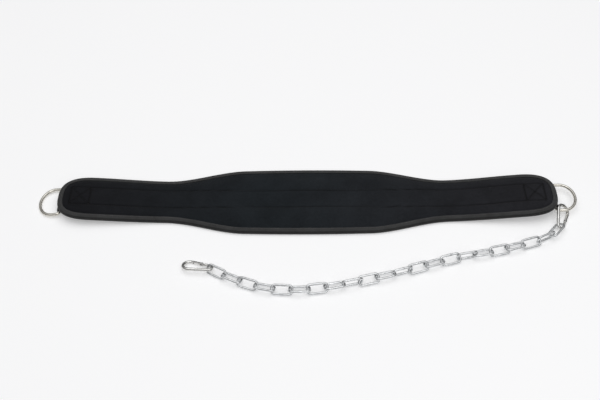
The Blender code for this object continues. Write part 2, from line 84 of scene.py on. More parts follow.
def softLight(name, place, size, power):
    # a round lamp at a place, pointed at the middle of the table
    data = bpy.data.lights.new(name, "AREA")
    data.shape, data.size, data.energy = "DISK", size, power
    lamp = bpy.data.objects.new(name, data)
    bpy.context.scene.collection.objects.link(lamp)
    lamp.location = place
    lamp.rotation_euler = (Vector((0, 0, 0)) - Vector(place)).to_track_quat("-Z", "Y").to_euler()


softLight("overhead", studio["overheadPlace"], studio["overheadSize"], studio["overheadPower"])
softLight("front", studio["frontPlace"], studio["frontSize"], studio["frontPower"])

# the sky is bright overhead and dark at the horizon, which gives the wire its dark outlines
world = bpy.data.worlds.new("studio")
bpy.context.scene.world = world
world.use_nodes = True
sky = world.node_tree
sky.nodes.clear()
skyCoord = sky.nodes.new("ShaderNodeTexCoord")
skySplit = sky.nodes.new("ShaderNodeSeparateXYZ")
skyRamp = sky.nodes.new("ShaderNodeValToRGB")
skyBack = sky.nodes.new("ShaderNodeBackground")
skyOut = sky.nodes.new("ShaderNodeOutputWorld")
sky.links.new(skyCoord.outputs["Generated"], skySplit.inputs[0])
sky.links.new(skySplit.outputs["Z"], skyRamp.inputs[0])
sky.links.new(skyRamp.outputs[0], skyBack.inputs[0])
sky.links.new(skyBack.outputs[0], skyOut.inputs[0])
skyRamp.color_ramp.elements[0].position = studio["skyLow"]
skyRamp.color_ramp.elements[0].color = (*studio["skyHorizon"], 1)
skyRamp.color_ramp.elements[1].position = studio["skyHigh"]
skyRamp.color_ramp.elements[1].color = (*studio["skyTop"], 1)
print("camera and light ready")


# Meshes from arrays
def gridQuads(rows, columns, closeRows=False, closeColumns=False):
    # quads between neighbouring rows and columns of a grid of points
    r = np.arange(rows if closeRows else rows - 1)[:, None]
    c = np.arange(columns if closeColumns else columns - 1)[None]
    r2, c2 = (r + 1) % rows, (c + 1) % columns
    return np.stack([r * columns + c, r * columns + c2, r2 * columns + c2, r2 * columns + c], -1).reshape(-1, 4)


def gridUv(rows, columns, along, across, closeRows=False, closeColumns=False):
    # distance along and across in metres for each corner of gridQuads, with no jump where the grid closes
    r = np.arange(rows if closeRows else rows - 1)[:, None]
    c = np.arange(columns if closeColumns else columns - 1)[None]
    u, v = np.broadcast_arrays(along[r], across[c])
    u2, v2 = np.broadcast_arrays(along[r + 1], across[c + 1])
    corners = ((u, v), (u, v2), (u2, v2), (u2, v))
    return np.stack([np.stack(corner, -1) for corner in corners], -2).reshape(-1, 2)


def newMesh(name, points, quads, uv=None, extraFaces=()):
    # a smooth mesh of quads, with a UV place for each of their corners, and any larger faces after them
    mesh = bpy.data.meshes.new(name)
    points = np.asarray(points, float).reshape(-1, 3)
    quads = np.asarray(quads).reshape(-1, 4)
    loops = np.concatenate([quads.ravel(), *extraFaces])
    sizes = np.concatenate([np.full(len(quads), 4), np.array([len(face) for face in extraFaces], int)])
    mesh.vertices.add(len(points))
    mesh.vertices.foreach_set("co", points.ravel())
    mesh.loops.add(len(loops))
    mesh.loops.foreach_set("vertex_index", loops)
    mesh.polygons.add(len(sizes))
    mesh.polygons.foreach_set("loop_start", np.concatenate([[0], np.cumsum(sizes)[:-1]]))
    mesh.polygons.foreach_set("loop_total", sizes)
    mesh.update(calc_edges=True)
    if uv is not None:
        layer = mesh.uv_layers.new(name="flow")
        full = np.zeros((len(loops), 2))
        full[:len(uv)] = uv
        layer.data.foreach_set("uv", full.ravel())
    mesh.validate()
    mesh.shade_smooth()
    return mesh


def facesOut(mesh, merge=0.0):
    # turns every face of a closed mesh outwards, after points nearer than merge have become one
    shape = bmesh.new()
    shape.from_mesh(mesh)
    if merge:
        bmesh.ops.remove_doubles(shape, verts=shape.verts, dist=merge)
    bmesh.ops.recalc_face_normals(shape, faces=shape.faces)
    shape.to_mesh(mesh)
    shape.free()


def newPiece(name, mesh, material, body, stands=(), merge=0.0):
    # a closed mesh as a piece that rides on a body and stands for the CAD nodes named in stands
    facesOut(mesh, merge)
    piece = bpy.data.objects.new(name, mesh)
    bpy.context.scene.collection.objects.link(piece)
    mesh.materials.append(material)
    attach(piece, body)
    if stands:
        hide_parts(*stands)
    return piece


def nodePoints(name):
    # the corners of a CAD node's mesh, one row each
    mesh = frame["nodes"][name].data
    points = np.empty(len(mesh.vertices) * 3)
    mesh.vertices.foreach_get("co", points)
    return points.reshape(-1, 3)


def runLength(points, closed=False):
    # distance along a row of points; a closed row gets one entry more
    ring = np.concatenate([points, points[:1]]) if closed else points
    return np.concatenate([[0], np.cumsum(np.linalg.norm(np.diff(ring, axis=0), axis=1))])


def pointsAt(points, run, marks):
    # the places on a row of points at the distances in marks, straight between one point and the next
    return np.stack([np.interp(marks, run, points[:, axis]) for axis in range(points.shape[1])], 1)


def evenly(points, count, closed=False):
    # the same line as count points, equally far apart
    ring = np.concatenate([points, points[:1]]) if closed else points
    run = runLength(ring)
    marks = np.linspace(0, run[-1], count + 1)[:-1] if closed else np.linspace(0, run[-1], count)
    return pointsAt(ring, run, marks)


def softened(values, passes, closed=True):
    # each pass replaces a point by the mean of itself and its neighbours, weighted 1 2 1
    for _ in range(passes):
        if closed:
            values = (np.roll(values, 1, 0) + 2 * values + np.roll(values, -1, 0)) / 4
        else:
            middle = (values[:-2] + 2 * values[1:-1] + values[2:]) / 4
            values = np.concatenate([values[:1], middle, values[-1:]])
    return values


def wireMesh(name, path, normal, halfFlat, halfNormal, sides, closed):
    # an oval section carried along a flat path:
    # path + cos(turn) * halfFlat * inwards + sin(turn) * halfNormal * normal
    tangent = np.roll(path, -1, 0) - np.roll(path, 1, 0) if closed else np.gradient(path, axis=0)
    tangent /= np.linalg.norm(tangent, axis=1)[:, None]
    normal = np.broadcast_to(normal, path.shape)
    inwards = np.cross(normal, tangent)
    turn = 2 * np.pi * np.arange(sides) / sides
    cosine, sine = np.cos(turn)[None, :, None], np.sin(turn)[None, :, None]
    halfFlat = np.broadcast_to(halfFlat, len(path))[:, None, None]
    halfNormal = np.broadcast_to(halfNormal, len(path))[:, None, None]
    points = path[:, None] + halfFlat * cosine * inwards[:, None] + halfNormal * sine * normal[:, None]
    along = runLength(path, closed)
    across = np.arange(sides + 1) / sides * 2 * np.pi * float(halfFlat.max())
    uv = gridUv(len(path), sides, along, across, closed, True)
    ends = [] if closed else [np.arange(sides)[::-1], (len(path) - 1) * sides + np.arange(sides)]
    return newMesh(name, points, gridQuads(len(path), sides, closed, True), uv, ends)


# Finishes: colours are linear, from 0 to 1, and lengths are in metres
def newFinish(name):
    # a new material, its nodes and its main shader
    material = bpy.data.materials.new(name)
    material.use_nodes = True
    tree = material.node_tree
    return material, tree, tree.nodes["Principled BSDF"]


def addNode(tree, kind, **values):
    # a node of one kind, with its sockets and settings given by name
    node = tree.nodes.new("ShaderNode" + kind)
    for key, value in values.items():
        if key in node.inputs:
            node.inputs[key].default_value = value
        else:
            setattr(node, key, value)
    return node


def mathNode(tree, operation, *terms):
    # one operation on numbers and the outputs of other nodes
    node = tree.nodes.new("ShaderNodeMath")
    node.operation = operation
    for socket, value in zip(node.inputs, terms):
        if isinstance(value, (int, float)):
            socket.default_value = value
        else:
            tree.links.new(value, socket)
    return node.outputs[0]


def waveNode(tree, distance, pitch):
    # sin(2 pi * distance / pitch): one crest for each pitch
    return mathNode(tree, "SINE", mathNode(tree, "MULTIPLY", distance, 2 * math.pi / pitch))


def noiseNode(tree, place, scale, detail, roughness=0.5):
    # soft noise at a place, with about scale spots to a metre
    noise = addNode(tree, "TexNoise", Scale=scale, Detail=detail, Roughness=roughness)
    tree.links.new(place, noise.inputs["Vector"])
    return noise.outputs[0]


def flowNode(tree):
    # the piece's own UV map: distance along it and distance across it
    flow = addNode(tree, "UVMap", uv_map="flow")
    split = addNode(tree, "SeparateXYZ")
    tree.links.new(flow.outputs[0], split.inputs[0])
    return flow.outputs[0], split.outputs[0], split.outputs[1]


def colourRamp(tree, factor, stops):
    # straight from one colour to the next, by the positions in stops
    ramp = tree.nodes.new("ShaderNodeValToRGB")
    elements = ramp.color_ramp.elements
    while len(elements) < len(stops):
        elements.new(0.5)
    for element, (position, colour) in zip(elements, stops):
        element.position = position
        element.color = (*colour, 1)
    tree.links.new(factor, ramp.inputs[0])
    return ramp.outputs[0]


def grey(value, tint=(1.0, 1.0, 1.0)):
    # the same value for red, green and blue, times the tint
    return tuple(value * t for t in tint)


def shadeRamp(tree, factor, ends, dark, light, tint=(1.0, 1.0, 1.0)):
    # from dark where the factor is ends[0] to light where it is ends[1], both in one tint
    return colourRamp(tree, factor, [(ends[0], grey(dark, tint)), (ends[1], grey(light, tint))])


def tintNode(tree, colour, factor):
    # the product of two colours
    mix = addNode(tree, "Mix", data_type="RGBA", blend_type="MULTIPLY")
    mix.inputs[0].default_value = 1.0
    tree.links.new(colour, mix.inputs[6])
    tree.links.new(factor, mix.inputs[7])
    return mix.outputs[2]


def bumpFrom(tree, height, bump, shader, before=None):
    # bump of a height, as (strength, distance), on top of an earlier bump where there is one
    node = addNode(tree, "Bump", Strength=bump[0], Distance=bump[1])
    tree.links.new(height, node.inputs["Height"])
    if before is not None:
        tree.links.new(before, node.inputs["Normal"])
    tree.links.new(node.outputs[0], shader.inputs["Normal"])
    return node.outputs[0]


def setSurface(shader, look):
    # what is the same all over a cloth, a thread or the table
    shader.inputs["Roughness"].default_value = look["roughness"]
    shader.inputs["Specular IOR Level"].default_value = look["specular"]
    shader.inputs["Sheen Weight"].default_value = look["sheen"]
    shader.inputs["Sheen Roughness"].default_value = look["sheenRoughness"]


def liningFinish():
    # brushed knit: a tone from slow patches and pile in equal parts, with a few pale flecks of lint,
    # times painted light along the belt (painted shade at the left end, brighter at the right end, with a change
    # of hue) and painted shade along the sewn lines; pile and a fine nap make the bump
    look = {
        "dark": 0.0122, "light": 0.0222, "tint": (0.93, 1.0, 1.10), "ends": (0.36, 0.64),
        "patch": 22.0, "pile": 420.0, "nap": 2600.0, "pileBump": (0.35, 0.0004), "napBump": (0.5, 0.00012),
        "lint": 120.0, "lintReach": 0.085, "lintRare": 0.93, "lintShare": 0.35,
        "lintColour": (0.30, 0.30, 0.31), "length": 0.793,
        "hueAndPaintedLight": [(0.06, (0.66, 0.64, 0.70)), (0.42, (0.88, 1.03, 1.12)), (0.93, (1.22, 1.14, 1.22))],
        "grooveShade": 0.14, "roughness": 0.92, "specular": 0.14, "sheen": 0.06, "sheenRoughness": 0.45,
    }
    material, tree, shader = newFinish("liningCloth")
    place = addNode(tree, "TexCoord").outputs["Object"]
    patches = noiseNode(tree, place, look["patch"], 4.0, 0.6)
    nap = noiseNode(tree, place, look["nap"], 2.0, 0.7)
    pile = noiseNode(tree, place, look["pile"], 3.0, 0.6)
    halfPile = mathNode(tree, "MULTIPLY", pile, 0.5)
    mixed = mathNode(tree, "ADD", mathNode(tree, "MULTIPLY", patches, 0.5), halfPile)
    cloth = shadeRamp(tree, mixed, look["ends"], look["dark"], look["light"], look["tint"])
    specks = addNode(tree, "TexVoronoi", Scale=look["lint"])
    tree.links.new(place, specks.inputs["Vector"])
    rare = mathNode(tree, "GREATER_THAN", specks.outputs["Color"], look["lintRare"])
    near = mathNode(tree, "LESS_THAN", specks.outputs["Distance"], look["lintReach"])
    lint = mathNode(tree, "MULTIPLY", mathNode(tree, "MULTIPLY", rare, near), look["lintShare"])
    mix = addNode(tree, "Mix", data_type="RGBA")
    tree.links.new(lint, mix.inputs[0])
    tree.links.new(cloth, mix.inputs[6])
    mix.inputs[7].default_value = (*look["lintColour"], 1)
    split = addNode(tree, "SeparateXYZ")
    tree.links.new(place, split.inputs[0])
    along = mathNode(tree, "ADD", mathNode(tree, "MULTIPLY", split.outputs[0], 1 / look["length"]), 0.5)
    # painted light along the belt: painted shade darkens the left end and the right end is painted brighter, with
    # a change of hue
    shaded = tintNode(tree, mix.outputs[2], colourRamp(tree, along, look["hueAndPaintedLight"]))
    # painted shade in the sewn creases: the lining is darkened to grooveShade where this mask is 1
    paintedSeamShade = addNode(tree, "Attribute", attribute_name="paintedSeamShade")
    sewn = colourRamp(tree, paintedSeamShade.outputs["Fac"], [(0.0, (1, 1, 1)), (1.0, grey(look["grooveShade"]))])
    tree.links.new(tintNode(tree, shaded, sewn), shader.inputs["Base Color"])
    setSurface(shader, look)
    first = bumpFrom(tree, pile, look["pileBump"], shader)
    bumpFrom(tree, nap, look["napBump"], shader, first)
    return material


def tapeFinish():
    # ribs across the tape and a finer thread along them, both sine waves, on slow patches of tone;
    # painted shade darkens the side of the rim below the fold on top, by the distance across the tape
    look = {
        "dark": 0.031, "light": 0.054, "ends": (0.25, 0.75), "patch": 60.0, "ribShade": 0.16,
        "pitch": 0.0014, "threadPitch": 0.00063, "threadHeight": 0.4, "bump": (0.55, 0.00018),
        "width": 0.020, "foldEnd": 0.0064, "sideStart": 0.0080, "sideShade": 0.40,
        "roughness": 0.72, "specular": 0.30, "sheen": 0.20, "sheenRoughness": 0.4,
    }
    material, tree, shader = newFinish("ribbedTape")
    _, along, across = flowNode(tree)
    ribs = waveNode(tree, along, look["pitch"])
    threads = waveNode(tree, across, look["threadPitch"])
    patches = noiseNode(tree, addNode(tree, "TexCoord").outputs["Object"], look["patch"], 4.0)
    shade = mathNode(tree, "ADD", mathNode(tree, "MULTIPLY", ribs, look["ribShade"]), patches)
    colour = shadeRamp(tree, shade, look["ends"], look["dark"], look["light"])
    # painted shade: the side of the rim below the fold is darkened to sideShade, by the distance across the tape
    sides = (look["foldEnd"] / look["width"], look["sideStart"] / look["width"])
    share = mathNode(tree, "MULTIPLY", across, 1 / look["width"])
    face = shadeRamp(tree, share, sides, 1.0, look["sideShade"])
    tree.links.new(tintNode(tree, colour, face), shader.inputs["Base Color"])
    setSurface(shader, look)
    height = mathNode(tree, "ADD", ribs, mathNode(tree, "MULTIPLY", threads, look["threadHeight"]))
    bumpFrom(tree, height, look["bump"], shader)
    return material


def webFinish():
    # twilled webbing: ridges that slant one way and then the other meet in chevrons, crossed by finer ends
    look = {
        "dark": 0.006, "light": 0.020, "ends": (0.2, 0.9), "pitch": 0.0016, "chevron": 0.0105,
        "endPitch": 0.0011, "endHeight": 0.6, "bump": (0.6, 0.00025),
        "roughness": 0.6, "specular": 0.4, "sheen": 0.0, "sheenRoughness": 0.5,
    }
    material, tree, shader = newFinish("strapWeb")
    _, along, across = flowNode(tree)
    slant = mathNode(tree, "PINGPONG", across, look["chevron"] / 2)
    twill = waveNode(tree, mathNode(tree, "ADD", along, slant), look["pitch"])
    ends = waveNode(tree, across, look["endPitch"])
    height = mathNode(tree, "ADD", twill, mathNode(tree, "MULTIPLY", ends, look["endHeight"]))
    share = mathNode(tree, "MULTIPLY_ADD", height, 0.25, 0.5)
    colour = shadeRamp(tree, share, look["ends"], look["dark"], look["light"])
    tree.links.new(colour, shader.inputs["Base Color"])
    setSurface(shader, look)
    bumpFrom(tree, height, look["bump"], shader)
    return material


def threadFinish(name, dark, light):
    # spun thread: a small noise in its shade and its bump
    look = {"twist": 900.0, "ends": (0.3, 0.7), "bump": (0.3, 0.0001),
            "roughness": 0.55, "specular": 0.5, "sheen": 0.0, "sheenRoughness": 0.5}
    material, tree, shader = newFinish(name)
    twist = noiseNode(tree, addNode(tree, "TexCoord").outputs["Object"], look["twist"], 2.0)
    tree.links.new(shadeRamp(tree, twist, look["ends"], dark, light), shader.inputs["Base Color"])
    setSurface(shader, look)
    bumpFrom(tree, twist, look["bump"], shader)
    return material


def metalFinish(name, bright, dull, tint, rough):
    # plated wire: cloudy patches of brighter and duller plating, and fine drawing marks along the wire
    look = {"cloud": 150.0, "colourEnds": (0.30, 0.62), "roughEnds": (0.30, 0.66), "dullRough": 1.5,
            "marks": (60.0, 1600.0, 1.0), "markBump": (0.10, 0.0001), "cloudBump": (0.12, 0.0002)}
    material, tree, shader = newFinish(name)
    clouds = noiseNode(tree, addNode(tree, "TexCoord").outputs["Object"], look["cloud"], 5.0, 0.65)
    stretch = addNode(tree, "Mapping", Scale=look["marks"])
    tree.links.new(flowNode(tree)[0], stretch.inputs[0])
    marks = noiseNode(tree, stretch.outputs[0], 1.0, 3.0)
    colour = shadeRamp(tree, clouds, look["colourEnds"], dull, bright, tint)
    tree.links.new(colour, shader.inputs["Base Color"])
    shader.inputs["Metallic"].default_value = 1.0
    roughness = shadeRamp(tree, clouds, look["roughEnds"], rough * look["dullRough"], rough)
    tree.links.new(roughness, shader.inputs["Roughness"])
    first = bumpFrom(tree, marks, look["markBump"], shader)
    bumpFrom(tree, clouds, look["cloudBump"], shader, first)
    return material


lining = liningFinish()
tape = tapeFinish()
web = webFinish()
thread = threadFinish("seamThread", 0.006, 0.016)
rimThread = threadFinish("rimThread", 0.085, 0.140)
nickel = metalFinish("ringNickel", 0.78, 0.50, (1.0, 0.965, 0.88), 0.22)
zinc = metalFinish("chainZinc", 0.82, 0.58, (0.985, 1.0, 1.01), 0.25)
hookZinc = metalFinish("hookZinc", 0.78, 0.54, (1.0, 0.995, 0.97), 0.22)
print("finishes ready")


# Floor: the table glows a little, as if lit from below as well, which keeps the shadows pale
table = {"half": 9.0, "colour": (0.86, 0.86, 0.865), "glow": 0.33,
         "roughness": 0.75, "specular": 0.2, "sheen": 0.0, "sheenRoughness": 0.5}
tableCorners = table["half"] * np.array([(-1, -1, 0), (1, -1, 0), (1, 1, 0), (-1, 1, 0)])
floorMesh = newMesh("floor", tableCorners, [(0, 1, 2, 3)])
floor = bpy.data.objects.new("floor", floorMesh)
bpy.context.scene.collection.objects.link(floor)
paleFloor, _, floorShader = newFinish("paleFloor")
floorShader.inputs["Base Color"].default_value = (*table["colour"], 1)
setSurface(floorShader, table)
floorShader.inputs["Emission Color"].default_value = (1, 1, 1, 1)
floorShader.inputs["Emission Strength"].default_value = table["glow"]
floorMesh.materials.append(paleFloor)


# The belt's outline: places are distances from the belt's middle
belt = {
    "length": 0.793, "middleWidth": 0.138, "crown": 0.0015, "neckWidth": 0.088, "flareWidth": 0.090,
    "shoulderStart": 0.095, "shoulderEnd": 0.225, "flareAt": 0.325, "endRound": 0.060, "endPower": 2.8,
    "liftStart": 0.205, "liftLeft": 0.0111, "liftRight": 0.0149, "endSteps": 400, "sideSteps": 900,
}
halfLength = belt["length"] / 2


def eased(share):
    # 0 below 0, 1 above 1, and s * s * (3 - 2 * s) between
    share = np.clip(share, 0, 1)
    return share * share * (3 - 2 * share)


def liftAt(x):
    # the belt's two ends curl up off the table: eased from nothing at liftStart to full at the tip
    rise = eased((np.abs(x) - belt["liftStart"]) / (halfLength - belt["liftStart"]))
    return rise * np.where(x < 0, belt["liftLeft"], belt["liftRight"])


def halfWidthAt(x):
    # wide in the middle, eased down to the neck, and a little wider again before the ends
    far = np.abs(x)
    middle = belt["middleWidth"] / 2 - belt["crown"] * np.clip(far / belt["shoulderStart"], 0, 1) ** 2
    shoulder = eased((far - belt["shoulderStart"]) / (belt["shoulderEnd"] - belt["shoulderStart"]))
    flare = eased((far - belt["shoulderEnd"]) / (belt["flareAt"] - belt["shoulderEnd"]))
    width = middle + (belt["neckWidth"] / 2 - middle) * shoulder
    width = width + (belt["flareWidth"] - belt["neckWidth"]) / 2 * flare
    endShare = np.clip((far - (halfLength - belt["endRound"])) / belt["endRound"], 0, 1)
    return width * (1 - endShare ** belt["endPower"]).clip(0) ** (1 / belt["endPower"])


def outlinePath(count):
    # count points round the rim, equally far apart, and the unit vectors that point outwards from it
    turn = np.linspace(0, np.pi / 2, belt["endSteps"])
    endX = halfLength - belt["endRound"] * (1 - np.sin(turn) ** (2 / belt["endPower"]))
    sideX = np.linspace(0, halfLength - belt["endRound"], belt["sideSteps"])[:-1]
    x = np.concatenate([sideX, endX])
    quarter = np.stack([x, halfWidthAt(x)], 1)
    quarter[-1] = (halfLength, 0.0)
    upper = np.concatenate([quarter[::-1], quarter[1:] * (-1, 1)])
    ring = np.concatenate([upper, upper[-2:0:-1] * (1, -1)])
    rim = softened(evenly(ring, count, True), 2)
    tangent = np.roll(rim, -1, 0) - np.roll(rim, 1, 0)
    tangent /= np.linalg.norm(tangent, axis=1)[:, None]
    return rim, np.stack([tangent[:, 1], -tangent[:, 0]], 1)


# Padded body: profile gives the foam's share of its full height over the distance in from the rim. The names with
# Start and Reach say how far in the top begins to waver (free), the sewn lines to dip (dip) and the underside to
# step up from the tape to the strap (low), and over what distance
pad = {
    "thickness": 0.0090, "underside": 0.0026, "rimBase": 0.0015, "rimThickness": 0.0036, "rimInset": 0.0015,
    "profile": [(0.0, 0.0), (0.0006, 0.10), (0.0015, 0.20), (0.0055, 0.36), (0.0072, 0.42), (0.0085, 0.51),
                (0.0105, 0.69), (0.0140, 0.865), (0.0190, 0.955), (0.0265, 1.0), (0.0600, 1.0)],
    "tuckReach": 0.0014, "lowStart": 0.0062, "lowReach": 0.002, "freeStart": 0.0075, "freeReach": 0.010,
    "seamOut": 0.0185, "seamDepth": 0.0016, "seamHalf": 0.0009, "dipStart": 0.006, "dipReach": 0.004,
    "boxNear": 0.345, "boxFar": 0.376, "boxDepth": 0.0011, "nearHalf": 0.0011, "farHalf": 0.0012,
    "crossHalf": 0.0010, "crossShare": 0.85, "lineEnd": 0.001, "stitchPitch": 0.0036, "pull": (0.82, 0.18),
    "waves": ((0.110, 0.00030), (0.045, 0.00018), (0.017, 0.00006)), "waveSeed": 11, "waveLower": 0.0003,
    "ripples": ((0.020, 0.00016),), "rippleSeed": 5, "rippleStretch": 0.35, "rippleReach": 0.007,
    "stations": 420, "topSteps": 72, "underSteps": 14, "crowd": (0.82, 0.18), "crowdRim": 0.93,
    "rimPoints": 2400, "girth": 0.29, "merge": 0.00001,
}


def smoothNoise(points, waves, seed, count=5):
    # a sum of slanting sine waves, count of them for each length and height in waves, with directions, starts
    # and exact lengths drawn from a seed
    draw = np.random.default_rng(seed)
    total = np.zeros(len(points))
    for length, height in waves:
        for _ in range(count):
            angle, start = draw.uniform(0, 2 * np.pi, 2)
            stretch = draw.uniform(0.75, 1.3) * length
            step = points[:, 0] * math.cos(angle) + points[:, 1] * math.sin(angle)
            total += height / count ** 0.5 * np.sin(2 * np.pi * step / stretch + start)
    return total


rimDense, _ = outlinePath(pad["rimPoints"])


def rimDistance(flat):
    # distance in from the rim, for points of the belt seen from above
    nearest = np.empty(len(flat))
    for part in np.array_split(np.arange(len(flat)), max(1, len(flat) // 3000)):
        gap = flat[part, None] - rimDense[None]
        nearest[part] = np.sqrt((gap ** 2).sum(-1).min(1))
    return nearest


def topTable():
    # heights of the top over the distance in from the rim, as the foam swells from under the tape
    inset, share = np.array(pad["profile"]).T
    base = pad["rimBase"] + pad["rimThickness"] / 2
    top = pad["underside"] + pad["thickness"]
    fine = np.linspace(0, inset[-1], 241)
    return fine, softened(np.interp(fine, inset, base + share * (top - base)), 8, False)


topInset, topHeight = topTable()


def seamDip(x, y):
    # depth of the sewn lines and the share of painted shade on them from 0 to 1: exp(-(distance / half) ** 2) of
    # the nearest of two lines along the belt, pulled in at each stitch, and a crossed box at each end
    def dip(distance, half):
        return np.exp(-(distance / half) ** 2)
    far, side, lineEnd = np.abs(x), np.abs(y), pad["lineEnd"]
    fade = eased((pad["boxFar"] + lineEnd - far) / (2 * lineEnd))
    mean, swing = pad["pull"]
    pull = mean + swing * np.cos(2 * np.pi * x / pad["stitchPitch"])
    lines = dip(side - pad["seamOut"], pad["seamHalf"]) * fade * pull * pad["seamDepth"]
    inside = eased((pad["seamOut"] + lineEnd - side) / (2 * lineEnd))
    near = dip(far - pad["boxNear"], pad["nearHalf"])
    ends = np.maximum(near, dip(far - pad["boxFar"], pad["farHalf"])) * inside
    middle = (pad["boxNear"] + pad["boxFar"]) / 2
    half = (pad["boxFar"] - pad["boxNear"]) / 2
    slope = pad["seamOut"] / half
    cross = np.abs(side - np.abs(far - middle) * slope) / math.hypot(1, slope)
    within = eased((half + lineEnd / 2 - np.abs(far - middle)) / lineEnd)
    box = np.maximum(ends, dip(cross, pad["crossHalf"]) * within * pad["crossShare"])
    return np.maximum(lines, box * pad["boxDepth"]), np.maximum(lines / pad["seamDepth"], box)


def padPoints(stations, topSteps, underSteps):
    # closed sections across the belt, one for each station along it: over the top from -Y to +Y and back
    # below. Stations crowd at the belt's ends, and the points of a section at its rim
    turn = np.linspace(-np.pi / 2, np.pi / 2, stations)
    reach = halfLength - pad["rimInset"]
    evenShare, crowdShare = pad["crowd"]
    station = reach * (evenShare * np.linspace(-1, 1, stations) + crowdShare * np.sin(turn))
    width = (halfWidthAt(station * halfLength / reach) - pad["rimInset"]).clip(0)
    width[[0, -1]] = 0
    crowdRim = pad["crowdRim"]
    topShare = np.sin(np.linspace(-np.pi / 2, np.pi / 2, topSteps) * crowdRim) / math.sin(crowdRim * np.pi / 2)
    lowShare = np.linspace(1, -1, underSteps + 2)[1:-1]
    share = np.concatenate([topShare, lowShare])
    x = np.repeat(station[:, None], len(share), 1)
    y = width[:, None] * share[None]
    inset = rimDistance(np.stack([x.ravel(), y.ravel()], 1)).reshape(x.shape)
    inset = (inset - pad["rimInset"]).clip(0)
    isTop = np.arange(len(share)) < topSteps
    insetLow = inset[:, ~isTop]
    z = np.empty_like(x)
    z[:, isTop] = np.interp(inset[:, isTop], topInset, topHeight)
    step = eased((insetLow - pad["lowStart"]) / pad["lowReach"])
    tuck = (pad["rimThickness"] / 2) * (1 - (insetLow / pad["tuckReach"]).clip(0, 1)) ** 2
    z[:, ~isTop] = pad["rimBase"] + (pad["underside"] - pad["rimBase"]) * step + tuck
    z += liftAt(x)
    return np.stack([x, y, z], -1), inset, isTop


# The foam swells between its seams: a coarser copy of the pad is blown up from inside, held at its rim,
# underneath and along the seams
foam = {
    "stations": 230, "topSteps": 45, "underSteps": 7, "endRows": 3, "heldRim": 0.0060, "heldSeam": 0.0023,
    "pressure": 4.0, "frames": 20, "cap": 0.0015, "startLower": 0.0006, "quality": 5, "mass": 0.3,
    "stiffness": 6.0,
}


def foamHeld(rest, inset, isTop):
    # true for the points that stay: the underside, the rim, both ends, the sewn lines and all of each box
    far, side = np.abs(rest[..., 0]), np.abs(rest[..., 1])
    onLine = (np.abs(side - pad["seamOut"]) < foam["heldSeam"]) & (far < pad["boxFar"])
    inBox = (far > pad["boxNear"]) & (far < pad["boxFar"]) & (side < pad["seamOut"])
    held = ~isTop[None] | (inset < foam["heldRim"]) | onLine | inBox
    held[[0, -1]] = True
    return held


def foamSwell():
    # how far each point of the coarse grid moved, never more than the cap
    rest, inset, isTop = padPoints(foam["stations"], foam["topSteps"], foam["underSteps"])
    ends = foam["endRows"]
    rest, inset = rest[ends:-ends], inset[ends:-ends]
    rows, columns = rest.shape[:2]
    trialMesh = newMesh("foamTrial", rest, gridQuads(rows, columns, False, True))
    facesOut(trialMesh)
    trial = bpy.data.objects.new("foamTrial", trialMesh)
    bpy.context.scene.collection.objects.link(trial)
    held = trial.vertex_groups.new(name="held")
    held.add(np.flatnonzero(foamHeld(rest, inset, isTop)).tolist(), 1.0, "REPLACE")
    cloth = trial.modifiers.new("cloth", "CLOTH")
    settings = cloth.settings
    settings.use_pressure = True
    settings.uniform_pressure_force = foam["pressure"]
    settings.effector_weights.gravity = 0.0
    settings.vertex_group_mass = "held"
    settings.quality = foam["quality"]
    settings.mass = foam["mass"]
    settings.tension_stiffness = settings.compression_stiffness = foam["stiffness"]
    cloth.point_cache.frame_end = foam["frames"]
    for frameNumber in range(1, foam["frames"] + 1):
        bpy.context.scene.frame_set(frameNumber)
    blown = trial.evaluated_get(bpy.context.evaluated_depsgraph_get()).to_mesh()
    after = np.empty(rows * columns * 3)
    blown.vertices.foreach_get("co", after)
    bpy.data.objects.remove(trial, do_unlink=True)
    bpy.data.meshes.remove(trialMesh)
    bpy.context.scene.frame_set(1)
    moved = np.nan_to_num(after.reshape(rest.shape) - rest)
    distance = np.linalg.norm(moved, axis=-1, keepdims=True)
    mean, most = float(distance.mean()) * 1000, float(distance.max()) * 1000
    print("foam moved: mean", round(mean, 3), "mm, most", round(most, 3), "mm")
    moved *= np.minimum(1, foam["cap"] / np.maximum(distance, 1e-9))
    return np.pad(moved[:, isTop], ((ends, ends), (0, 0), (0, 0)))


def regrid(values, rows, columns):
    # the same field on a grid of another size with the same four corners, straight between its points
    r, c = np.linspace(0, values.shape[0] - 1, rows), np.linspace(0, values.shape[1] - 1, columns)
    r0 = np.minimum(r.astype(int), values.shape[0] - 2)
    c0 = np.minimum(c.astype(int), values.shape[1] - 2)
    rs, cs = (r - r0)[:, None, None], (c - c0)[None, :, None]
    near = values[r0][:, c0] * (1 - cs) + values[r0][:, c0 + 1] * cs
    far = values[r0 + 1][:, c0] * (1 - cs) + values[r0 + 1][:, c0 + 1] * cs
    return near * (1 - rs) + far * rs


points, inset, isTop = padPoints(pad["stations"], pad["topSteps"], pad["underSteps"])
rows, columns = points.shape[:2]
flatTop = points[:, isTop].reshape(-1, 3)
insetTop = inset[:, isTop].ravel()
free = eased((insetTop - pad["freeStart"]) / pad["freeReach"])
swell = smoothNoise(flatTop, pad["waves"], pad["waveSeed"])
ripple = smoothNoise(flatTop * (1, pad["rippleStretch"], 1), pad["ripples"], pad["rippleSeed"])
nearSeam = np.exp(-((np.abs(flatTop[:, 1]) - pad["seamOut"]) / pad["rippleReach"]) ** 2)
moved = flatTop.copy()
moved += regrid(foamSwell(), rows, pad["topSteps"]).reshape(-1, 3)
moved[:, 2] -= foam["startLower"] * free
moved[:, 2] += (swell - pad["waveLower"]) * free + ripple * nearSeam * free
dip, dark = seamDip(flatTop[:, 0], flatTop[:, 1])
moved[:, 2] -= dip * eased((insetTop - pad["dipStart"]) / pad["dipReach"])
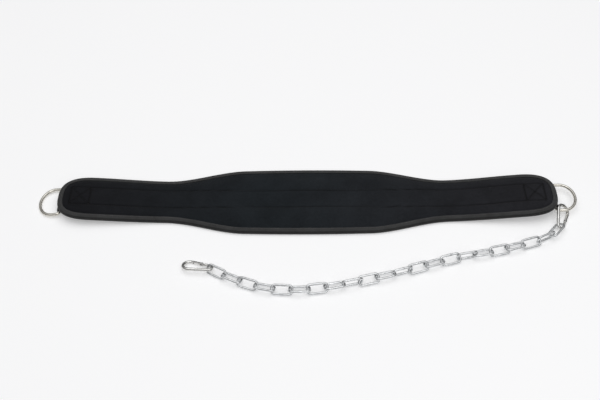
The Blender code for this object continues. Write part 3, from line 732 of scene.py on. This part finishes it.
points[:, isTop] = moved.reshape(rows, -1, 3)
# painted shade along the sewn lines and boxes, kept on each point for the lining's colour
paintedSeamShade = np.zeros((rows, columns))
paintedSeamShade[:, isTop] = dark.reshape(rows, -1)
acrossPad = np.append(runLength(points[rows // 2]), pad["girth"])
padUv = gridUv(rows, columns, points[:, 0, 0] + halfLength, acrossPad, False, True)
padMesh = newMesh("paddedBody", points, gridQuads(rows, columns, False, True), padUv)
padMesh.attributes.new("paintedSeamShade", "FLOAT", "POINT").data.foreach_set("value", paintedSeamShade.ravel())
paddedBody = newPiece("paddedBody", padMesh, lining, "belt", ("pad",), pad["merge"])
print("padded body:", len(padMesh.vertices), "points")


# Binding tape round the rim: it wavers by the sum of some waves round the rim, cycles to a round
binding = {
    "thickness": 0.0012, "fold": 0.0070, "topFold": 0.0087, "foldTop": 0.0082, "rimTop": 0.0074,
    "wander": 0.00035, "lift": 0.00012, "wanderStart": 0.0035, "wanderReach": 0.003, "wanderAbove": 0.006,
    "cycles": (23, 41, 67, 97, 151, 211), "seed": 4, "steps": 1100, "sectionSteps": 34,
    "stitchInset": 0.0062, "stitchPitch": 0.0028, "stitchRise": 0.00016, "stitchLineSteps": 1600,
}


def bindingSection():
    # the tape's outer face from its fold on the lining, round the rim, to its fold below: (inset, height)
    foldTop, rimTop = binding["foldTop"], binding["rimTop"]
    outer = np.array([
        (binding["topFold"] - 0.0002, foldTop - 0.0005), (binding["topFold"] - 0.0007, foldTop),
        (0.0060, foldTop - 0.0001), (0.0034, foldTop - 0.0004), (0.0017, rimTop), (0.0007, rimTop - 0.0010),
        (0.0001, 0.0052), (0.0, 0.0036), (0.0001, 0.0022), (0.0006, 0.0010),
        (0.0018, 0.0002), (0.0035, 0.0), (0.0068, 0.0),
    ])
    line = softened(evenly(outer, binding["sectionSteps"]), 2, False)
    tangent = np.gradient(line, axis=0)
    tangent /= np.linalg.norm(tangent, axis=1)[:, None]
    inner = line + np.stack([-tangent[:, 1], tangent[:, 0]], 1) * binding["thickness"]
    inner[:, 1] = inner[:, 1].clip(0.0, None)
    return np.concatenate([line, inner[::-1]]), line


section, outerLine = bindingSection()
rim, rimOut = outlinePath(binding["steps"])
run = runLength(rim, True)
cycles = np.array(binding["cycles"])
phase = np.random.default_rng(binding["seed"]).uniform(0, 2 * np.pi, len(cycles))
sines = np.sin(2 * np.pi * cycles[None] * run[:-1, None] / run[-1] + phase[None])
waver = (sines / cycles ** 0.25).sum(1) / (len(cycles) / 2)
topPart = eased((section[:, 0] - binding["wanderStart"]) / binding["wanderReach"])
topPart = topPart * (section[:, 1] > binding["wanderAbove"])
insetHere = section[None, :, 0] + binding["wander"] * waver[:, None] * topPart[None]
flat = rim[:, None] - rimOut[:, None] * insetHere[..., None]
height = section[None, :, 1] + liftAt(flat[..., 0]) + binding["lift"] * waver[:, None] * topPart[None]
tapePoints = np.concatenate([flat, height[..., None]], -1)
sectionRun = runLength(section)
outerWidth = sectionRun[len(section) // 2 - 1]
tapeRun = np.append(sectionRun, 2 * outerWidth + 2 * binding["thickness"])
tapeUv = gridUv(len(rim), len(section), run, tapeRun, True, True)
tapeMesh = newMesh("bindingTape", tapePoints, gridQuads(len(rim), len(section), True, True), tapeUv)
newPiece("bindingTape", tapeMesh, tape, "belt", ("edge_binding",))
print("binding tape:", len(tapeMesh.vertices), "points")


# Strap under the pad: two powers square off its section, and spineEnd is the middle of the circle that the
# belt's end is taken for
strap = {
    "width": 0.042, "thickness": 0.0020, "foldBack": 0.045, "dip": 0.010, "gap": 0.0003, "ringWire": 0.0050,
    "barInset": 0.0045, "spineShare": 0.45, "edgePower": 0.22, "facePower": 0.35, "webShift": 0.03,
    "steps": 620, "sides": 36,
}
barX = halfLength - strap["barInset"]
spineEnd = halfLength - strap["spineShare"] * belt["flareWidth"]


def barHeight(side):
    # height of the middle of a ring's bar, which hangs in the strap's loop
    return float(liftAt(side * barX)) - 2 * strap["gap"] - strap["thickness"] - strap["ringWire"] / 2


def strapHalf(side):
    # middle line of half the strap in x and z: out along the belt, round the ring's bar and back below
    tapeReach = halfLength - spineEnd - binding["fold"] - strap["gap"]
    dipEnd = spineEnd + math.sqrt(tapeReach ** 2 - (strap["width"] / 2) ** 2)
    half, drop = strap["thickness"] / 2, strap["thickness"] + strap["gap"]
    bow = strap["ringWire"] / 2 + strap["gap"] + half
    centre = barHeight(side)

    def mainHeight(x):  # under the belt, and down past the tape near its end
        return liftAt(side * x) + half - drop * eased((x - dipEnd + strap["dip"]) / strap["dip"])

    def backHeight(x):  # the end that is folded back under it
        return mainHeight(x) - strap["thickness"] - 2 * strap["gap"]

    outX = np.linspace(0, dipEnd, 160)
    meet = np.array([dipEnd, backHeight(dipEnd)]) - (barX, centre)
    leaves = math.degrees(math.atan2(meet[1], meet[0]) + math.acos(bow / np.linalg.norm(meet))) - 360
    turn = np.radians(np.linspace(90, leaves, 40))
    backX = np.linspace(dipEnd, barX - strap["foldBack"], 20)
    line = np.concatenate([
        np.stack([outX, mainHeight(outX)], 1),
        np.stack([barX + bow * np.cos(turn), centre + bow * np.sin(turn)], 1),
        np.stack([backX, backHeight(backX)], 1),
    ])
    line[:, 0] *= side
    return line


left, right = strapHalf(-1), strapHalf(1)
strapLine = evenly(np.concatenate([left[:0:-1], right]), strap["steps"])
step = np.gradient(strapLine, axis=0)
step /= np.linalg.norm(step, axis=1)[:, None]
upwards = np.stack([-step[:, 1], step[:, 0]], 1)
sides = strap["sides"]
turn = 2 * np.pi * np.arange(sides) / sides
acrossShare = np.sign(np.cos(turn)) * np.abs(np.cos(turn)) ** strap["edgePower"]
thickShare = np.sign(np.sin(turn)) * np.abs(np.sin(turn)) ** strap["facePower"]
strapPoints = np.zeros((len(strapLine), sides, 3))
strapPoints[..., 0] = strapLine[:, None, 0] + upwards[:, None, 0] * thickShare[None] * strap["thickness"] / 2
strapPoints[..., 2] = strapLine[:, None, 1] + upwards[:, None, 1] * thickShare[None] * strap["thickness"] / 2
strapPoints[..., 1] = acrossShare[None] * strap["width"] / 2
acrossRun = np.append(acrossShare, acrossShare[0]) * strap["width"] / 2 + strap["webShift"]
strapUv = gridUv(len(strapLine), sides, runLength(strapLine), acrossRun, False, True)
strapQuads = gridQuads(len(strapLine), sides, False, True)
strapEnds = [np.arange(sides), (len(strapLine) - 1) * sides + np.arange(sides)[::-1]]
strapMesh = newMesh("strapWebbing", strapPoints, strapQuads, strapUv, strapEnds)
newPiece("strapWebbing", strapMesh, web, "belt", ("strap_webbing",))
print("strap:", len(strapMesh.vertices), "points")


# D-rings: tipReach is how much of the CAD ring's tip shows which way it points
ring = {
    "wire": 0.0050, "inside": 0.050, "reach": 0.0345, "leg": 0.013, "corner": 0.0055, "tipReach": 0.006,
    "steps": 200, "sides": 24,
}


def ringPath():
    # a straight bar, two rounded corners, short legs and an elliptical bow: (out from the bar, along the bar)
    half = (ring["inside"] + ring["wire"]) / 2
    corner = np.linspace(np.pi, 1.5 * np.pi, 30)
    near = np.stack([ring["corner"] * (1 + np.cos(corner)), ring["corner"] * (1 + np.sin(corner)) - half], 1)
    bow = np.linspace(-np.pi / 2, np.pi / 2, 160)
    arc = np.stack([ring["leg"] + (ring["reach"] - ring["leg"]) * np.cos(bow), half * np.sin(bow)], 1)
    line = np.concatenate([near, arc, near[::-1] * (1, -1)])
    return softened(evenly(line, ring["steps"], True), 3)


flatRing = ringPath()
ringRows = ((-1, "d_ring_left", "left_ring", "ringLeft"), (1, "d_ring_right", "belt", "ringRight"))
for side, node, body, name in ringRows:
    corners = nodePoints(node)
    bar = np.array([side * barX, 0.0, barHeight(side)])
    outwards = corners[:, 0] * side
    tipRing = corners[outwards > outwards.max() - ring["tipReach"]]
    away = tipRing.mean(0) * (1, 0, 1) - bar
    away /= np.linalg.norm(away)
    normal = np.cross(away, (0, 1, 0)) * side
    path = bar + flatRing[:, :1] * away + flatRing[:, 1:] * np.array([0, 1.0, 0])
    ringMesh = wireMesh(node + "_wire", path, normal, ring["wire"] / 2, ring["wire"] / 2, ring["sides"], True)
    newPiece(name, ringMesh, nickel, body, (node,))
print("rings ready")


# Chain
link = {
    "wire": 0.0038, "insideLength": 0.0268, "insideWidth": 0.0098, "corner": 0.0046, "weldSwell": 0.13,
    "weldLength": 0.0022, "count": 22, "steps": 96, "sides": 18,
}


def linkPath():
    # an oblong with rounded corners, eased so that each side runs softly into its corner
    halfLong = (link["insideLength"] + link["wire"]) / 2
    halfWide = (link["insideWidth"] + link["wire"]) / 2
    turn = np.linspace(0, np.pi / 2, 40)
    cornerX = halfLong - link["corner"] * (1 - np.cos(turn))
    corner = np.stack([cornerX, halfWide - link["corner"] * (1 - np.sin(turn))], 1)
    upper = np.concatenate([corner, corner[::-1] * (-1, 1)])
    line = np.concatenate([upper, -upper])
    return softened(evenly(line, link["steps"], True), 5)


def linkAxes(corners):
    # a link's middle and its long, wide and thin directions, from the spread of its corners
    middle = (corners.min(0) + corners.max(0)) / 2
    axes = np.linalg.svd(corners - corners.mean(0), full_matrices=False)[2]
    local = (corners - middle) @ axes.T
    middle = middle + ((local.min(0) + local.max(0)) / 2) @ axes
    return middle, axes


flatLink = linkPath()
for number in range(1, link["count"] + 1):
    node = f"chain_link_{number:02d}"
    middle, axes = linkAxes(nodePoints(node))
    path = middle + flatLink[:, :1] * axes[0] + flatLink[:, 1:] * axes[1]
    weld = np.exp(-(flatLink[:, 0] / link["weldLength"]) ** 2) * (flatLink[:, 1] < 0)  # on one side only
    half = link["wire"] / 2 * (1 + link["weldSwell"] * weld)
    linkMesh = wireMesh(node + "_wire", path, np.cross(axes[0], axes[1]), half, half, link["sides"], True)
    newPiece(f"link{number:02d}", linkMesh, zinc, "belt", (node,))
print("chain:", link["count"], "links")


# Snap hooks: drawn flat, with the middle of the narrow end at 0, 0 and the wide end at hookSpan along x
hook = {
    "length": 0.050, "wire": 0.0050, "wide": 0.025, "narrow": 0.016, "gateWidth": 0.0046, "nose": 0.0027,
    "pivotAt": 0.0130, "tongueStart": 0.002, "tongue": 0.0020, "gap": 0.0003, "blend": 0.0016, "tipShare": 0.45,
    "steps": 260, "sides": 24,
}
wideRadius = (hook["wide"] - hook["wire"]) / 2
narrowRadius = (hook["narrow"] - hook["wire"]) / 2
hookSpan = hook["length"] - hook["wire"] - wideRadius - narrowRadius
legAngle = math.asin((wideRadius - narrowRadius) / hookSpan)
legLength = hookSpan * math.cos(legAngle)


def gatePoint(along):
    # a point on the gate's side of the hook, along from where the narrow end's round stops
    foot = -narrowRadius * np.array([math.sin(legAngle), math.cos(legAngle)])
    return foot + along * np.array([math.cos(legAngle), -math.sin(legAngle)])


def hookWire():
    # the bent wire from its nose round the wide end, down the spine and round the narrow end to its tongue:
    # points in the hook's plane, and half thicknesses in the plane and across it
    full, thin, slim = hook["wire"] / 2, hook["tongue"] / 2, hook["gateWidth"] / 2 - hook["gap"]
    edge = math.pi / 2 + legAngle
    start = -edge + 2 * hook["gap"] / wideRadius
    wide = np.linspace(start, edge, 60)
    narrow = np.linspace(edge, 2 * math.pi - edge, 40)
    nose = np.array([gatePoint(legLength - hook["nose"] * s) for s in (1.0, 0.7, 0.35, 0.0)])
    tongue = np.array([gatePoint(s) for s in np.linspace(hook["tongueStart"], hook["pivotAt"] + slim, 14)])
    line = np.concatenate([
        nose,
        np.stack([hookSpan + wideRadius * np.cos(wide), wideRadius * np.sin(wide)], 1),
        np.stack([narrowRadius * np.cos(narrow), narrowRadius * np.sin(narrow)], 1),
        tongue,
    ])
    line = evenly(line, hook["steps"])
    run = runLength(line)
    fromNose, fromTongue = run - hook["nose"], run[-1] - run
    tongueFlat = slim + hook["gateWidth"] / 2 + 2 * hook["gap"]
    blend = eased(fromNose / hook["blend"]) * eased((fromTongue - tongueFlat) / hook["blend"])
    halfFlat = slim + (full - slim) * blend
    rounded = np.sqrt((np.minimum(run, fromTongue) / slim).clip(0, 1))
    halfFlat *= np.minimum(1, hook["tipShare"] + (1 - hook["tipShare"]) * rounded)
    halfNormal = thin + (full - thin) * blend
    return line, halfFlat, halfNormal


def hookAxes(node, joint):
    # the hook's own axes and the middle of its narrow end, from its gate's hinge and the way its gate points
    spec = next(item for item in frame["record"]["behaviour"]["joints"] if item["name"] == joint)
    pivot, normal = np.array(spec["pos_m"], float), np.array(spec["axis"], float)
    normal /= np.linalg.norm(normal)
    corners = nodePoints(node)
    lean = np.linalg.svd(corners - corners.mean(0), full_matrices=False)[2][0]
    lean = lean * np.sign((corners.mean(0) - pivot) @ lean)
    lean -= normal * (lean @ normal)
    lean /= np.linalg.norm(lean)
    side = np.cross(normal, lean)
    u = math.cos(legAngle) * lean + math.sin(legAngle) * side
    v = np.cross(normal, u)
    flat = gatePoint(hook["pivotAt"])
    return np.stack([u, v, normal]), pivot - flat[0] * u - flat[1] * v


hookLine, halfFlat, halfNormal = hookWire()
for prefix, name in (("waist_hook", "waistHookWire"), ("end_hook", "endHookWire")):
    axes, origin = hookAxes(prefix + "_gate", prefix + "_gate_hinge")
    path = origin + hookLine[:, :1] * axes[0] + hookLine[:, 1:] * axes[1]
    hookMesh = wireMesh(prefix + "_wire", path, axes[2], halfFlat, halfNormal, hook["sides"], False)
    newPiece(name, hookMesh, hookZinc, "belt", (prefix + "_body",))
    for slot in frame["nodes"][prefix + "_gate"].material_slots:
        slot.material = hookZinc
print("hooks ready")


# Stitches: lean is the spread of their angles, in radians
sewing = {
    "length": 0.0021, "lengths": (0.94, 1.05), "lean": 0.05, "radius": 0.00030, "rise": 0.00010,
    "sink": 0.00055, "thinning": 0.75, "probe": 0.0004, "sides": 6, "sections": 5,
}


def alongLine(line, pitch):
    # marks along a line seen from above, one each pitch, and the way the line runs there
    run = runLength(line)
    count = max(2, int(run[-1] / pitch))
    marks = (np.arange(count) + 0.5) * run[-1] / count
    way = pointsAt(line, run, marks + sewing["probe"]) - pointsAt(line, run, marks - sewing["probe"])
    return pointsAt(line, run, marks), way / np.linalg.norm(way, axis=1)[:, None]


def stitchMesh(name, middle, way, heightAt, seed, rise):
    # each stitch is a short arched thread that lies halfway between the cloth and its highest point, and whose
    # ends sink by the third power of their distance from the stitch's middle
    draw = np.random.default_rng(seed)
    turned = draw.normal(0, sewing["lean"], len(middle))
    way = way * np.cos(turned)[:, None] + np.stack([-way[:, 1], way[:, 0]], 1) * np.sin(turned)[:, None]
    sides, sections = sewing["sides"], sewing["sections"]
    share = np.linspace(-1, 1, sections)
    length = sewing["length"] * draw.uniform(*sewing["lengths"], len(middle))
    flat = middle[:, None] + way[:, None] * (share[None, :, None] * length[:, None, None] / 2)
    base = heightAt(flat.reshape(-1, 2)).reshape(flat.shape[:2])
    level = base.max(1)[:, None] * 0.5 + base * 0.5
    z = level + rise - sewing["sink"] * np.abs(share[None]) ** 3
    thick = sewing["radius"] * np.sqrt((1 - sewing["thinning"] * share ** 2).clip(0.05))
    turn = 2 * np.pi * np.arange(sides) / sides
    side = np.stack([-way[:, 1], way[:, 0], np.zeros(len(way))], 1)
    centre = np.concatenate([flat, z[..., None]], -1)
    around = np.cos(turn)[None, None, :, None] * side[:, None, None]
    around = around + np.sin(turn)[None, None, :, None] * np.array([0, 0, 1.0])
    points = centre[:, :, None] + thick[None, :, None, None] * around
    cap = np.array([(0, 1, 2, 3), (0, 3, 4, 5)])  # closes the six sides of an end
    wall = gridQuads(sections, sides, False, True)
    quads = np.concatenate([wall, cap[:, ::-1], cap + (sections - 1) * sides])
    firsts = np.arange(len(middle)) * sections * sides
    return newMesh(name, points, quads[None] + firsts[:, None, None])


def onPad(flat):
    # heights of the padded top at points seen from above, between the points of its grid
    top = points[:, isTop]
    row = np.interp(flat[:, 0], top[:, 0, 0], np.arange(rows))
    r0 = np.minimum(row.astype(int), rows - 2)
    rs = row - r0
    reach = halfLength - pad["rimInset"]
    width = (halfWidthAt(flat[:, 0] * halfLength / reach) - pad["rimInset"]).clip(0.001)
    middleRow = top[rows // 2, :, 1]
    column = np.interp(flat[:, 1] / width, middleRow / middleRow.max(), np.arange(len(middleRow)))
    c0 = np.minimum(column.astype(int), len(middleRow) - 2)
    cs = column - c0
    z = top[..., 2]
    near = z[r0, c0] * (1 - cs) + z[r0, c0 + 1] * cs
    far = z[r0 + 1, c0] * (1 - cs) + z[r0 + 1, c0 + 1] * cs
    return near * (1 - rs) + far * rs


def onTape(flat):
    # heights of the tape's upper fold at points seen from above
    fold = outerLine[: np.argmin(outerLine[:, 0])]
    return np.interp(rimDistance(flat), fold[::-1, 0], fold[::-1, 1]) + liftAt(flat[:, 0])


seamOut, boxNear, boxFar = pad["seamOut"], pad["boxNear"], pad["boxFar"]
lines = []
for side in (-1, 1):
    near, far = side * boxNear, side * boxFar
    lines += [
        [(-boxFar, side * seamOut), (boxFar, side * seamOut)],
        [(near, -seamOut), (near, seamOut)], [(far, -seamOut), (far, seamOut)],
        [(near, -seamOut), (far, seamOut)], [(near, seamOut), (far, -seamOut)],
    ]
marks = [alongLine(np.array(line), pad["stitchPitch"]) for line in lines]
middle, way = np.concatenate([m[0] for m in marks]), np.concatenate([m[1] for m in marks])
seamSewing = stitchMesh("seamStitches", middle, way, onPad, 21, sewing["rise"])
newPiece("seamStitches", seamSewing, thread, "belt")

rimLine, rimAway = outlinePath(binding["stitchLineSteps"])
sewn = rimLine - rimAway * binding["stitchInset"]
middle, way = alongLine(np.concatenate([sewn, sewn[:1]]), binding["stitchPitch"])
rimSewing = stitchMesh("bindingStitches", middle, way, onTape, 22, binding["stitchRise"])
newPiece("bindingStitches", rimSewing, rimThread, "belt")
print("stitches ready")


# End
print("scene ready")
